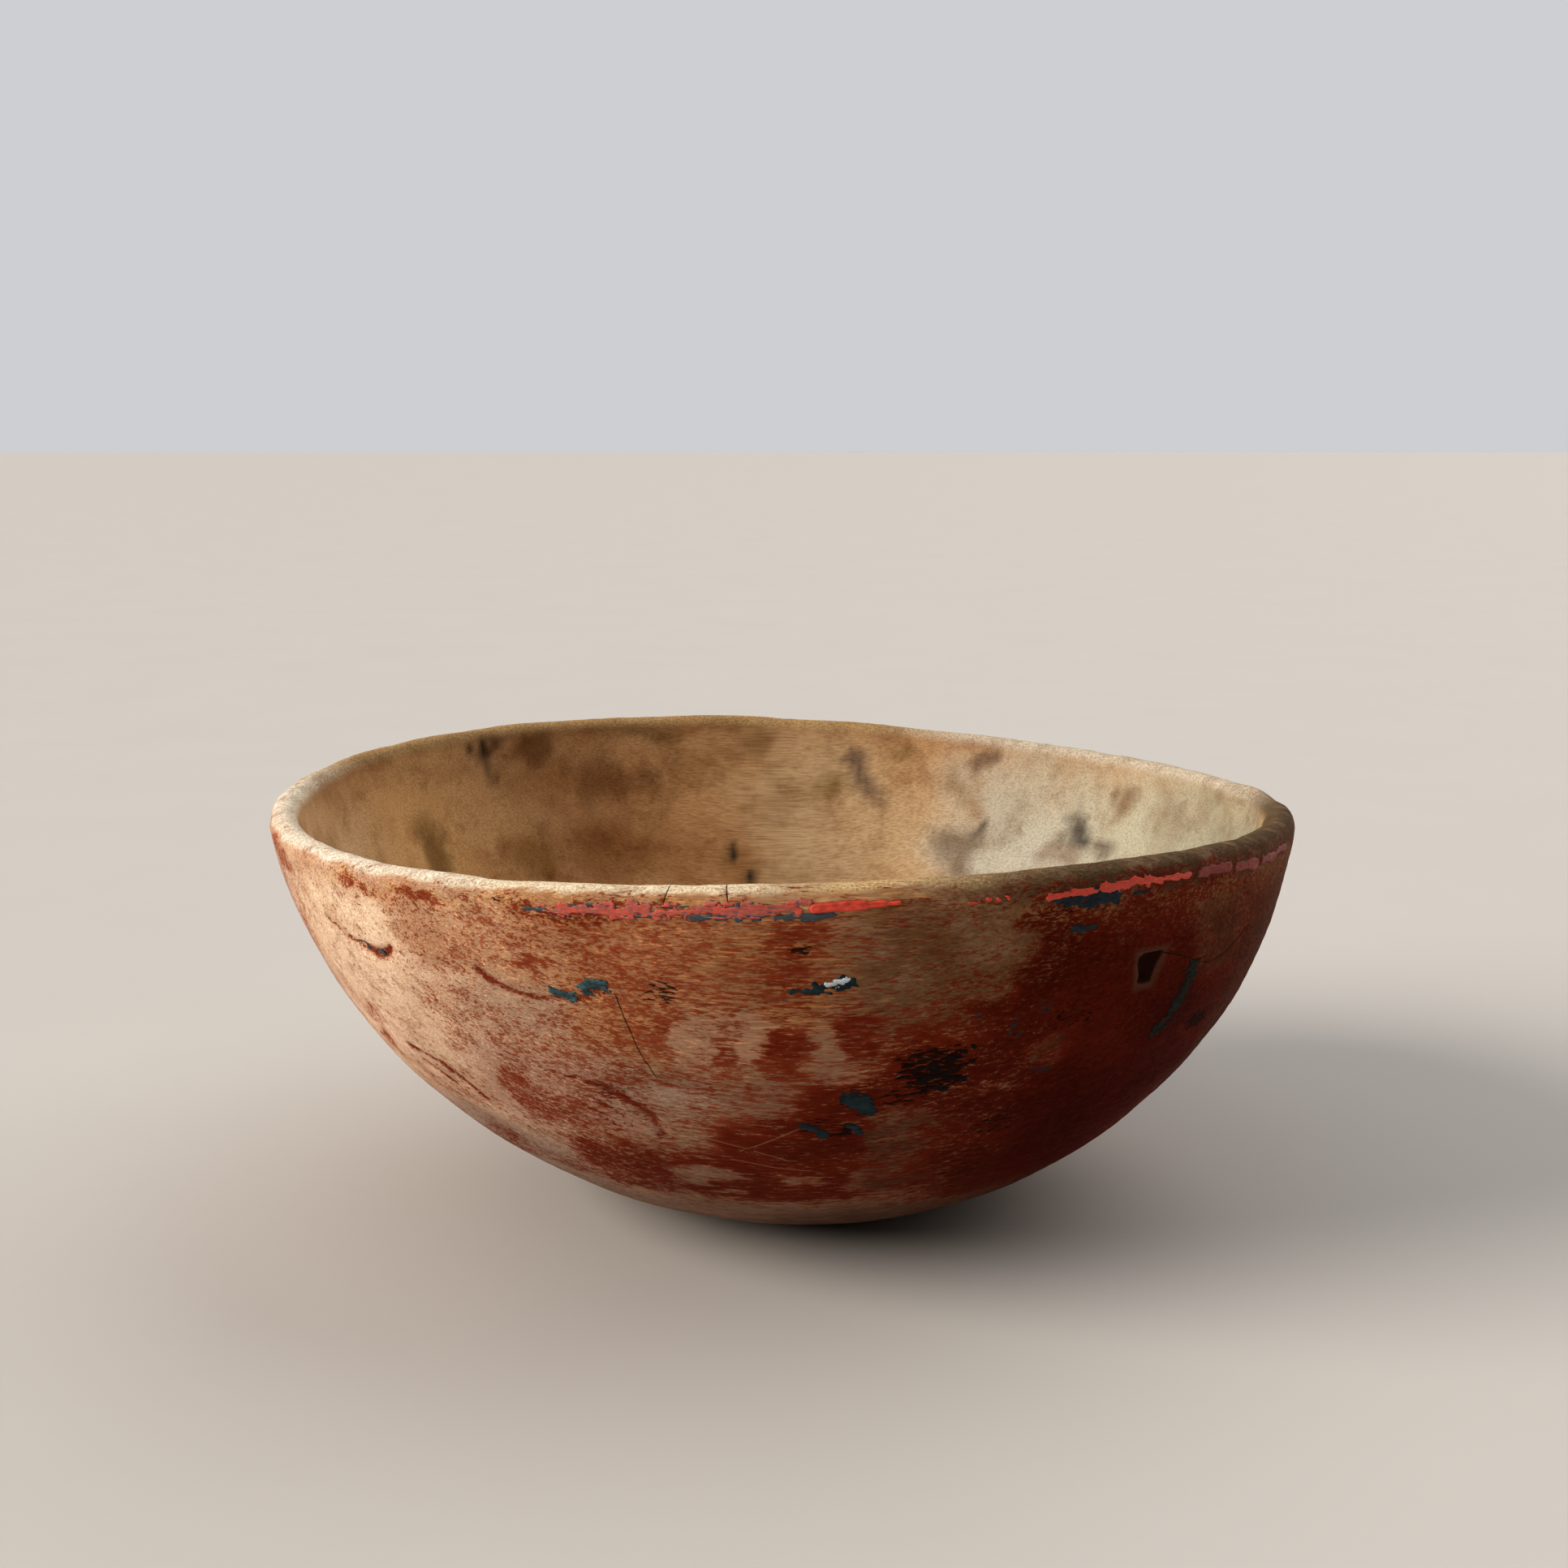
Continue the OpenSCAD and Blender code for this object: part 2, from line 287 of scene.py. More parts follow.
def paint_points(piece, name, colours):
    """Gives a mesh's points a colour attribute of red, green, blue and a fourth value."""
    attribute = piece.data.attributes.new(name, "FLOAT_COLOR", "POINT")
    attribute.data.foreach_set("color", np.ascontiguousarray(colours, dtype=np.float32).ravel())


def linear(hex_colour):
    """Linear red, green, blue and 1 from an sRGB hex colour."""
    parts = [int(hex_colour[i : i + 2], 16) / 255 for i in (1, 3, 5)]
    return [part / 12.92 if part <= 0.04045 else ((part + 0.055) / 1.055) ** 2.4 for part in parts] + [1.0]


def put(tree, kind, *inputs, named=None, **settings):
    """Adds a node with its settings and fills its inputs in use in order, and others by name. An input takes
    a value, an output, or a node, which gives its first output in use."""
    node = tree.nodes.new("ShaderNode" + kind)
    for name, value in settings.items():
        setattr(node, name, value)
    filled = list(zip([socket for socket in node.inputs if socket.enabled], inputs))
    for socket, value in filled + [(node.inputs[name], value) for name, value in (named or {}).items()]:
        if isinstance(value, bpy.types.Node):
            value = next(output for output in value.outputs if output.enabled)
        if isinstance(value, bpy.types.NodeSocket):
            tree.links.new(value, socket)
        else:
            socket.default_value = value
    return node


# Aged birch with worn red ochre, quite matt. Fibres lie along X, so every pattern is long in X and narrow in
# Y and Z; rubbing left the ochre in torn dashes that follow them. The finest fibres are drawn about twice as
# wide as real ones, so that they show.
birch = bpy.data.materials.new("aged_birch_with_worn_red_ochre_wash")
birch.use_nodes = True
tree = birch.node_tree
tree.nodes.clear()
place = put(tree, "TexCoord").outputs["Object"]
# The wood attribute: the wood's colour with painted light and painted shade in it; its fourth value is the
# old oil with painted shade
wood = put(tree, "Attribute", attribute_name="wood")
coat = put(tree, "Attribute", attribute_name="coat")
mark = put(tree, "Attribute", attribute_name="mark")
line = put(tree, "Attribute", attribute_name="line")
cover, depth, dashes = put(tree, "SeparateColor", coat).outputs
crack_side, crack_near, woolly = put(tree, "SeparateColor", mark).outputs
stroke_reach, scrape_side, scrape_near = put(tree, "SeparateColor", line).outputs
oiled_and_shaded, stained = wood.outputs["Alpha"], coat.outputs["Alpha"]
inside, slot_reach = mark.outputs["Alpha"], line.outputs["Alpha"]

# Each pattern: length along the fibres, width and height across them in millimetres, detail, roughness
grain_sizes = {
    "fibre": (10, 0.42, 0.42, 3, 0.65),
    "torn": (4.5, 0.85, 0.85, 4, 0.7),
    "tuft": (1.8, 0.36, 0.36, 2, 0.6),
    "blotch": (12, 5, 5, 4, 0.7),
    "cloud": (30, 18, 18, 3, 0.6),
    "mottle": (10, 9, 9, 4, 0.65),
    "check": (0.45, 0.6, 4, 2, 0.6),
    "scratch": (40, 0.4, 0.4, 2, 0.6),
    "dash": (3.2, 0.6, 0.6, 2, 0.55),
    "speck": (0.55, 0.5, 0.5, 1, 0.6),
}
grain = {}
for number, (name, (length, width, height, detail, roughness)) in enumerate(grain_sizes.items()):
    shift = (3.1 + 1.7 * number, 6.2 + 2.3 * number, 9.3 - 1.1 * number)
    stretched = put(tree, "Mapping", place, shift, (0, 0, 0), (1000 / length, 1000 / width, 1000 / height))
    grain[name] = put(tree, "TexNoise", stretched, 1.0, detail, roughness)
outside = put(tree, "Math", 1.0, inside, operation="SUBTRACT")

times = {"operation": "MULTIPLY"}
times_plus = {"operation": "MULTIPLY_ADD"}

# How much of the wash is left: what the hands spared, torn along the fibres, and all of it in a gouge stroke
tearing = {"blotch": 1.2, "torn": 2.0, "fibre": 1.3, "tuft": 1.5}
in_stroke = put(tree, "Math", grain["torn"], 4.0, stroke_reach, **times_plus)
in_stroke = put(tree, "Math", grain["tuft"], 3.0, in_stroke, **times_plus)
in_stroke = put(tree, "MapRange", in_stroke, 3.5, 4.9, 0.88, 0.0)
wear = put(tree, "Math", cover, in_stroke, operation="MAXIMUM")
for name, weight in tearing.items():
    wear = put(tree, "Math", grain[name], weight, wear, **times_plus)
even = sum(tearing.values()) / 2
steeply = {"interpolation_type": "SMOOTHSTEP"}
soaked_in = put(tree, "MapRange", wear, even + 0.0, even + 0.75, 0.0, 0.85, **steeply)
soaked_in = put(tree, "Math", soaked_in, outside, **times)
left_on = put(tree, "MapRange", wear, even + 0.34, even + 0.66, 0.0, 1.0, **steeply)
left_on = put(tree, "Math", left_on, outside, **times)

# Wood: darker fibres, brown clouds, blooms of use inside, dark pores, pale rub marks, dots in the woolly
# crest, a grey haze where it was handled. Each: pattern, its low and high, the share there, where, colour
multiply = {"data_type": "RGBA", "blend_type": "MULTIPLY"}
mix = {"data_type": "RGBA"}
calm = put(tree, "MapRange", woolly, 0.0, 1.0, 1.0, 0.3)
bare = wood
for name, low, high, at_low, at_high, where, colour, blend in (
    ("fibre", 0.32, 0.6, 0.5, 0.0, calm, "#a5835f", "MULTIPLY"),
    ("cloud", 0.46, 0.68, 0.0, 0.45, calm, "#bd9468", "MULTIPLY"),
    ("mottle", 0.5, 0.68, 0.0, 0.38, inside, "#a88a68", "MULTIPLY"),
    ("torn", 0.62, 0.74, 0.0, 0.3, 1.0, "#5d4128", "MIX"),
    ("scratch", 0.56, 0.66, 0.0, 0.6, outside, "#fdf4e6", "OVERLAY"),
    ("speck", 0.4, 0.56, 0.6, 0.0, woolly, "#b8a68a", "MULTIPLY"),
    ("blotch", 0.48, 0.66, 0.0, 0.5, outside, "#a68c72", "MIX"),
):
    share = put(tree, "MapRange", grain[name], low, high, at_low, at_high)
    share = put(tree, "Math", share, where, **times)
    bare = put(tree, "Mix", share, bare, linear(colour), data_type="RGBA", blend_type=blend)
bare = put(tree, "Mix", soaked_in, bare, linear("#d39a7c"), **multiply)

# Ochre: thin, orange and see-through where rubbed, dark and brown-red where thick, with dark fibres and fine
# cracks across them. Each layer: source, its low and high, the share there, colour
thickness = depth
for name, weight in {"torn": 1.0, "cloud": 0.9}.items():
    thickness = put(tree, "Math", grain[name], weight, thickness, **times_plus)
ochre = linear("#a5502f")
for source, low, high, at_low, at_high, colour in (
    (thickness, 1.05, 1.6, 0.0, 1.0, "#7c2a12"),
    (thickness, 1.6, 2.1, 0.0, 1.0, "#4e1304"),
    (grain["fibre"], 0.35, 0.65, 0.35, 0.0, "#561b0c"),
    (grain["check"], 0.6, 0.68, 0.0, 0.3, "#2e0d05"),
):
    share = put(tree, "MapRange", source, low, high, at_low, at_high)
    ochre = put(tree, "Mix", share, ochre, linear(colour), **mix)
body = put(tree, "MapRange", thickness, 1.1, 1.7, 0.62, 0.97)
body = put(tree, "Math", body, left_on, **times)
painted = put(tree, "Mix", body, bare, ochre, **mix)

# Later marks: blue left in the wood, blackened dashes, pale scratches, old oil with painted shade, the slot
# and drying cracks
blue_left = put(tree, "Math", grain["dash"], stained, operation="ADD")
blue_left = put(tree, "MapRange", blue_left, 1.02, 1.1, 0.0, 0.85, **steeply)
black_left = put(tree, "Math", grain["dash"], dashes, operation="ADD")
black_left = put(tree, "MapRange", black_left, 0.98, 1.06, 0.0, 0.9, **steeply)
scraped = put(tree, "Math", scrape_side, operation="ABSOLUTE")
scraped = put(tree, "MapRange", scraped, 0.06, 0.24, 0.5, 0.0)
scraped = put(tree, "Math", scraped, scrape_near, **times)
# Old oil and painted shade, multiplied in warm and darker towards the right and the foot
oil_and_shade = put(tree, "MapRange", grain["torn"], 0.3, 0.7, 0.8, 1.0)
oil_and_shade = put(tree, "Math", oil_and_shade, oiled_and_shaded, **times)
slot_edge = put(tree, "MapRange", slot_reach, 0.5, 2.2, 0.4, 0.0)
slot_dark = put(tree, "MapRange", slot_reach, -0.1, 0.25, 1.0, 0.0)
on_crack = put(tree, "Math", crack_side, operation="ABSOLUTE")
on_crack = put(tree, "MapRange", on_crack, 0.06, 0.22, 0.9, 0.0)
on_crack = put(tree, "Math", on_crack, crack_near, **times)
for share, colour, blending in (
    (blue_left, "#303f44", mix),
    (black_left, "#1c0f0c", mix),
    (scraped, "#b98a6a", mix),
    (oil_and_shade, "#c77f40", multiply),
    (slot_edge, "#6a5240", mix),
    (slot_dark, "#2a1108", mix),
    (on_crack, "#24130c", mix),
):
    painted = put(tree, "Mix", share, painted, linear(colour), **blending)

# Relief too fine for the mesh: raised fibres, the wash's edge, pores, cracks, wool on the crest
wool = put(tree, "MapRange", woolly, 0.0, 1.0, 0.15, 1.5)
relief_height = put(tree, "Math", grain["speck"], wool, **times)
for source, weight in ((grain["fibre"], 0.9), (grain["torn"], 0.7), (left_on, 0.35), (on_crack, -1.6)):
    relief_height = put(tree, "Math", source, weight, relief_height, **times_plus)
bump = put(tree, "Bump", named={"Strength": 0.55, "Distance": 0.0002, "Height": relief_height})
roughness = put(tree, "MapRange", grain["torn"], 0.3, 0.7, 0.5, 0.66)
finish = {"Base Color": painted, "Roughness": roughness, "Normal": bump, "Specular IOR Level": 0.015}
put(tree, "OutputMaterial", put(tree, "BsdfPrincipled", named=finish))

# Bare wood outside, as patches: angles from and to, drops from and to, colour, strength. Besides the wood's
# own
# tones they hold painted light and shade: the pale patches on the left are partly painted light, and the dark
# browns on the right and the darker band near the foot are partly painted shade.
outside_wood_light_and_shade = [
    (-180, 180, 40, 110, "#a48671", 0.8),
    (-195, -120, -5, 100, "#dcbca2", 1.0),
    (-195, -157, 5, 60, "#bfa496", 0.9),
    (-160, -132, 6, 34, "#ecd0b4", 0.9),
    (-152, -136, 8, 16, "#f4dcc0", 0.6),
    (-158, -142, 34, 58, "#ecccb4", 0.8),
    (-178, -134, 60, 84, "#b49c90", 0.8),
    (-150, -124, 64, 92, "#a08c80", 0.8),
    (-142, -124, 4, 8, "#d9ab84", 0.8),
    (-128, -113, 22, 36, "#bd9f88", 0.9),
    (-136, -112, 8, 20, "#c69d7c", 0.8),
    (-132, -108, 36, 62, "#b89682", 0.8),
    (-112, -92, 5, 26, "#b98762", 0.9),
    (-98, -82, 6, 26, "#a87a54", 0.8),
    (-84, -62, 5, 34, "#7c5c40", 0.9),
    (-76, -66, 6, 14, "#8c6a4a", 0.7),
    (-70, -62, 12, 26, "#8a6a4c", 0.8),
    (-80, -74, 16, 26, "#8a6c52", 0.7),
    (-104, -92, 26, 41, "#bb957a", 0.9),
    (-89, -80, 29, 44, "#a88066", 0.9),
    (-113, -98, 40, 55, "#b09682", 0.9),
    (-98, -86, 42, 54, "#a07c66", 0.8),
    (-76, 8, -3, 6.5, "#5c4a38", 0.9),
    (-62, -38, 6, 100, "#4a2a18", 0.9),
    (-42, -22, 6, 60, "#5a4028", 0.9),
    (-28, -4, 5, 60, "#684a30", 0.9),
    (-81, -68, 50, 78, "#6e4e3a", 0.9),
    (-112, -95, 66, 76, "#a28470", 0.9),
    (-180, 180, 82, 112, "#93796a", 0.9),
    (-92, -30, 84, 112, "#7a6052", 0.7),
    (0, 60, 3, 60, "#8a6442", 0.8),
    (60, 130, 3, 50, "#ad8560", 0.8),
    (130, 170, 3, 60, "#cfa986", 0.8),
]
# Ochre still there outside, as patches: angles from and to, drops from and to, share of the coat, its depth
ochre_left = [
    (-180, 180, 3, 84, 0.42, 0.4),
    (-195, -124, 3, 92, 0.08, 0.3),
    (-166, -156, 3, 9, 0.6, 0.3),
    (-164, -156, 10, 30, 0.3, 0.2),
    (-143, -138, 4.2, 6.8, 0.6, 0.4),
    (-134, -127, 3.6, 6.6, 0.66, 0.4),
    (-152, -147, 37, 44, 0.42, 0.3),
    (-154, -149, 45, 49, 0.5, 0.3),
    (-135, -130, 26, 44, 0.26, 0.25),
    (-128, -123, 12, 22, 0.26, 0.25),
    (-146, -136, 54, 60, 0.3, 0.3),
    (-147, -132, 68, 76, 0.45, 0.5),
    (-127, -122, 26, 44, 0.36, 0.3),
    (-122, -112, 32, 44, 0.36, 0.3),
    (-128.5, -123.5, 44, 60, 0.62, 0.5),
    (-125, -117, 50, 60, 0.6, 0.55),
    (-125, -109, 62, 81, 0.72, 0.7),
    (-134, -122, 72, 78, 0.5, 0.5),
    (-126, -114, 5, 19, 0.28, 0.25),
    (-121, -115, 16.2, 18.6, 0.6, 0.4),
    (-120, -115, 12, 14, 0.5, 0.4),
    (-126, -115, 20, 31, 0.12, 0.2),
    (-116, -101, 6, 12, 0.4, 0.25),
    (-114, -101, 12, 24, 0.46, 0.3),
    (-120, -106, 3.6, 8, 0.55, 0.5),
    (-110, -100, 24, 36, 0.5, 0.35),
    (-106, -102, 27, 34, 0.66, 0.45),
    (-102, -92, 5, 24, 0.4, 0.3),
    (-92, -85, 6, 20, 0.62, 0.5),
    (-90, -87, 12, 24, 0.66, 0.6),
    (-85, -64, 5, 26, 0.22, 0.3),
    (-85, -79, 24, 31, 0.3, 0.4),
    (-96, -86, 22, 30, 0.48, 0.4),
    (-102, -97.5, 28, 40, 0.1, 0.2),
    (-97.5, -94.8, 32.5, 41, 0.75, 0.6),
    (-95, -92.4, 26, 39, 0.15, 0.2),
    (-92.6, -88, 29, 44, 0.84, 0.7),
    (-87.4, -84.4, 29.5, 38, 0.08, 0.2),
    (-88.8, -80.6, 37.5, 43, 0.2, 0.3),
    (-84.6, -79.4, 27, 38, 0.84, 0.7),
    (-79.6, -72, 30, 36, 0.7, 0.7),
    (-108, -98, 37, 43, 0.42, 0.25),
    (-107, -101, 44, 53, 0.15, 0.2),
    (-102, -89, 43, 53, 0.42, 0.4),
    (-89, -78, 43, 54, 0.86, 0.85),
    (-80, -60, 35, 52, 0.86, 0.9),
    (-112, -106, 47, 62, 0.3, 0.4),
    (-100, -76, 53, 66, 0.86, 0.85),
    (-107, -100, 56, 63.5, 0.3, 0.3),
    (-110, -78, 64, 81, 0.82, 0.8),
    (-109, -97, 68, 74, 0.22, 0.3),
    (-92, -84, 71, 74.5, 0.4, 0.4),
    (-104, -97, 76.5, 78.5, 0.4, 0.5),
    (-80, -70, 51, 67, 0.3, 0.5),
    (-82, -72, 68, 77, 0.42, 0.5),
    (-72, -30, 5, 84, 0.86, 1.0),
    (-73, -64, 6, 20, 0.16, 0.3),
    (-72, -64.5, 20, 26, 0.34, 0.4),
    (-66, -60, 8, 13, 0.6, 0.8),
    (-57, -52, 5.5, 8.5, 0.4, 0.6),
    (-61.5, -56.5, 36, 45, 0.5, 0.7),
    (-70, -60, 45, 50, 0.6, 0.8),
    (-42, -31, 8, 30, 0.36, 0.6),
    (-30, -6, 3, 70, 0.35, 0.7),
    (-28, -12, 60, 84, 0.85, 1.0),
    (-6, 30, 6, 60, 0.62, 0.6),
    (8, 20, 14, 36, 0.2, 0.4),
    (34, 58, 5, 30, 0.4, 0.4),
    (40, 70, 34, 62, 0.85, 0.7),
    (60, 72, 10, 24, 0.8, 0.5),
    (72, 92, 26, 40, 0.2, 0.3),
    (86, 110, 6, 22, 0.62, 0.4),
    (95, 118, 40, 70, 0.85, 0.7),
    (112, 126, 12, 34, 0.25, 0.3),
    (126, 150, 5, 16, 0.55, 0.3),
    (132, 172, 20, 70, 0.14, 0.3),
    (140, 150, 34, 46, 0.5, 0.4),
]
# Black dashes, blue stains, and old oil with painted shade outside: angles, drops, amount
black_dashes = [
    (-77.5, -69, 36, 48, 0.56),
    (-76, -70, 38, 45, 0.62),
    (-70, -66, 34, 42, 0.36),
    (-80, -74.5, 46, 53, 0.46),
    (-84.5, -78.5, 43.5, 46, 0.44),
    (-84.6, -83.2, 45, 50, 0.5),
    (-89, -81, 53, 59, 0.46),
    (-82.6, -79.8, 54, 58.5, 0.56),
    (-89.6, -86.4, 11, 13.2, 0.58),
    (-105, -101.5, 19.5, 25, 0.51),
    (-62, -54, 28, 36, 0.42),
    (-68, -60, 55, 61, 0.46),
    (-131, -129, 4.5, 6, 0.42),
    (-73.6, -71.8, 0.2, 4.2, 0.42),
    (-121, -119, 4.5, 6.5, 0.5),
    (-62, -54, 5.6, 9.4, 0.42),
    (-37.5, -32.5, 40, 44.5, 0.6),
    (-46, -38, 46, 52, 0.4),
    (-78, -70, 72, 80, 0.34),
    (-117.5, -111, 21.5, 26, 0.34),
    (-112.4, -107, 18.8, 23.4, 0.42),
    (-114, -109, 45, 52, 0.36),
    (95, 108, 44, 56, 0.38),
    (20, 28, 34, 46, 0.36),
]
blue_stains = [
    (-121, -112, 65, 69, 0.45),
    (-69.8, -68, 27, 36, 0.6),
    (-65.5, -63.5, 31, 36, 0.57),
    (-62.5, -59.5, 27, 31, 0.57),
    (-61, -58, 43.5, 46.5, 0.6),
    (-114, -111, 46.5, 50, 0.46),
    (-118, -105, 3.2, 6.6, 0.48),
    (-105, -79, 3.0, 6.4, 0.44),
    (-132, -128, 4.4, 6.4, 0.42),
    (-64, -54, 4.8, 9, 0.48),
    (-37, -33, 5, 8, 0.42),
    (-146, -138, 19, 21.6, 0.42),
    (-43.5, -39.5, 25.5, 42, 0.5),
]
# The old oil, a warm darkening towards the right and the foot, is partly a real glaze and partly painted
# shade
old_oil_and_painted_shade = [
    (-100, 30, 50, 110, 0.25),
    (-92, 20, 28, 110, 0.35),
    (-70, 12, 6, 110, 0.6),
    (-54, 6, 6, 110, 0.8),
    (-62, -8, 44, 84, 0.95),
]
# Bare wood inside, as patches: angles from and to, drops from and to, colour, strength. On the inside left
# (136 to 205 degrees) the wood is made lighter than it is, as painted light where that wall lies in shade
inside_wood_and_painted_light = [
    (-180, 180, -5, 110, "#d2ae80", 1.0),
    (-25, 62, -5, 60, "#bcb8a2", 1.0),
    (-15, 24, -5, 60, "#9c9984", 0.8),
    (34, 68, 2, 60, "#bfbdae", 0.8),
    (64, 100, -2, 60, "#c4a983", 1.0),
    (96, 139, -2, 60, "#cda272", 0.9),
    (136, 170, 0, 60, "#e4b981", 0.9),
    (162, 205, 0, 60, "#dfc096", 0.9),
    (-160, -30, 0, 70, "#bd9868", 0.9),
    (-180, 180, 62, 110, "#9c7a50", 0.8),
    (36.8, 40.8, 15.5, 28, "#46403c", 0.9),
    (31, 36.5, 20, 28, "#5f4b40", 0.8),
    (36, 44, 28, 36, "#8d7a68", 0.8),
    (27.5, 32, 7, 14, "#8d7256", 0.8),
    (54.5, 59, 3, 9, "#77604e", 0.8),
    (53, 62, 24, 42, "#7d6a56", 0.8),
    (56, 59, 22, 28, "#5a4c46", 0.8),
    (57, 62, 10, 24, "#a08664", 0.7),
    (75.5, 79, 4, 22, "#5d4a44", 0.8),
    (73, 78, 16, 24, "#6f5a4c", 0.7),
    (80, 84.5, 14, 22, "#87703f", 0.7),
    (66, 71, 2, 12, "#97794f", 0.7),
    (102, 108, 8, 19, "#9a7244", 0.6),
    (90, 98, 1, 11, "#8f6c44", 0.7),
    (104, 118, 0, 7, "#9a7a50", 0.8),
    (117, 124, 8, 24, "#8f6640", 0.6),
    (126, 134, 0, 14, "#7d532b", 0.8),
    (135.4, 138.2, -1, 10, "#33261d", 0.95),
    (112, 128, 24, 42, "#935f2e", 0.6),
    (108, 118, 14, 22, "#855c36", 0.5),
    (92, 104, 34, 48, "#a0733f", 0.5),
    (128, 138, 28, 42, "#94672f", 0.7),
    (149, 154, 20, 38, "#8d7142", 0.8),
]
teal_spots_inside = [
    (98.2, 100.6, 35.6, 40.6, "#16262c", 0.95),
    (95.4, 98, 42.6, 47.2, "#16262c", 0.95),
]
# Bare crest: cream on the near side, darker and browner on the right and at the back, which is painted shade
# where the rim is turned from the light. Angles, colour
crest_wood_and_shade = [
    (-180, 180, "#b29468"),
    (-192, -116, "#f0e7d4"),
    (-124, -84, "#ece0c4"),
    (-90, -66, "#c8ae84"),
    (-72, 10, "#64543f"),
    (0, 68, "#cbc0ad"),
]
tan_band = (-150, -72, 3.2, 5.2, "#dbb682", 0.6)
# Pale scratches across the ochre, as lines of (angle, drop) points
scrapes = [
    [(-100.5, 59.5), (-97, 61.5), (-91, 65.5)],
    [(-96.5, 62.5), (-93, 59.5), (-89.5, 56.5)],
    [(-108, 38.2), (-104, 38.8), (-101, 40.4)],
    [(-98, 66), (-93, 68), (-88, 69)],
    [(58, 30), (66, 41)],
]


def patch(angle, down, spot, side=1):
    """1 inside a soft-edged patch of the wall and 0 outside: the fourth root of the sum of fourth powers of
    the shares of its half sizes, so it is a box with round corners; inside the bowl it is a softer oval."""
    angle_from, angle_to, drop_from, drop_to = spot[:4]
    top, bottom = down_wall(np.array([drop_from, drop_to]), side) + [min(drop_from, 0) * side, 0]
    across = around(angle, (angle_from + angle_to) / 2) / (angle_to - angle_from) * 2
    across = across * (angle_to - angle_from < 359)
    along = (down - (top + bottom) / 2) / (bottom - top) * 2
    if side == 1:
        return 1 - rise((across**4 + along**4) ** 0.25, 0.65, 1.3)
    return 1 - rise(np.hypot(across, along), 0.35, 1.35)


def lay_colour(field, share, hex_colour):
    """Mixes a colour into a field of colours by a share of 0 to 1 at each place."""
    field += share[..., None] * (np.array(linear(hex_colour)[:3]) - field)


wander = section_places(angle_grid, down_grid)
along_fibres = [0.5, 1, 1]
warped_angle = angle_grid + 0.8 * ripple(wander, 14, 11) + 0.5 * ripple(wander * [0.7, 1, 1], 4, 12)
warped_down = down_grid + 0.9 * ripple(wander * along_fibres, 12, 13)
warped_down = warped_down + 0.7 * ripple(wander * along_fibres, 3.5, 14)
inner_angle = angle_grid + 1.6 * ripple(wander, 20, 15) + 0.8 * ripple(wander, 7, 16)
inner_down = down_grid + 2.2 * ripple(wander, 18, 17) + 1.0 * ripple(wander, 6, 18)
is_outside = rise(down_grid, -1.5, 1)

shape = angle_grid.shape
# The outer wood's colours, with painted light on the left and painted shade on the right and near the foot
outer_wood_light_and_shade = np.ones(shape + (3,)) * linear("#bd9168")[:3]
inner_wood_and_painted_light = outer_wood_light_and_shade.copy()
for spot in outside_wood_light_and_shade + [tan_band]:
    lay_colour(outer_wood_light_and_shade, patch(warped_angle, warped_down, spot) * spot[5], spot[4])
for spot in inside_wood_and_painted_light:
    lay_colour(inner_wood_and_painted_light, patch(inner_angle, inner_down, spot, -1) * spot[5], spot[4])
for spot in teal_spots_inside:
    lay_colour(inner_wood_and_painted_light, patch(angle_grid, down_grid, spot, -1) * spot[5], spot[4])
# The wood's colour, with its painted light and painted shade, inside and out
wood_with_light_and_shade_rgb = inner_wood_and_painted_light + is_outside[..., None] * (outer_wood_light_and_shade - inner_wood_and_painted_light)
# The crest's colours by angle, browner where painted shade is put on the right and at the back
crest_rgb_and_shade = np.zeros(shape + (3,))
halfway_down = np.full(shape, 50.0)
for angle_from, angle_to, colour in crest_wood_and_shade:
    lay_colour(crest_rgb_and_shade, patch(angle_grid, halfway_down, (angle_from, angle_to, 0, rim_height)), colour)
crest_edge = down_grid + 0.35 * (warped_down - down_grid)
crest_share = (rise(down_grid, -6, -2.5) * (1 - rise(crest_edge, 2.6, 4.1)))[..., None]
wood_with_light_and_shade_rgb += 0.92 * crest_share * (crest_rgb_and_shade - wood_with_light_and_shade_rgb)

ochre_share = np.zeros(shape)
ochre_depth = np.full(shape, 0.4)
for spot in ochre_left:
    share = patch(warped_angle, warped_down, spot)
    ochre_share += share * (spot[4] - ochre_share)
    ochre_depth += share * (spot[5] - ochre_depth)
reach = 4.0
stroke_near = np.full(shape, reach)
for points, half_width, _ in gouge_strokes:
    stroke_near = np.minimum(stroke_near, distance(angle_grid, down_grid, points) / half_width)
ochre_depth += (1 - rise(stroke_near, 1, 2)) * (0.75 - ochre_depth)
slot_beyond = np.clip(beyond_sides(angle_grid, down_grid, slot_corners), -reach, reach)
ochre_share *= is_outside * (1 - crest_share[..., 0])
dash_share, blue_share, oil_and_shade_share = np.zeros(shape), np.zeros(shape), np.zeros(shape)
for share_field, spots in ((dash_share, black_dashes), (blue_share, blue_stains), (oil_and_shade_share, old_oil_and_painted_shade)):
    for spot in spots:
        amount = spot[4] * patch(warped_angle, warped_down, spot) * is_outside
        np.maximum(share_field, amount, out=share_field)


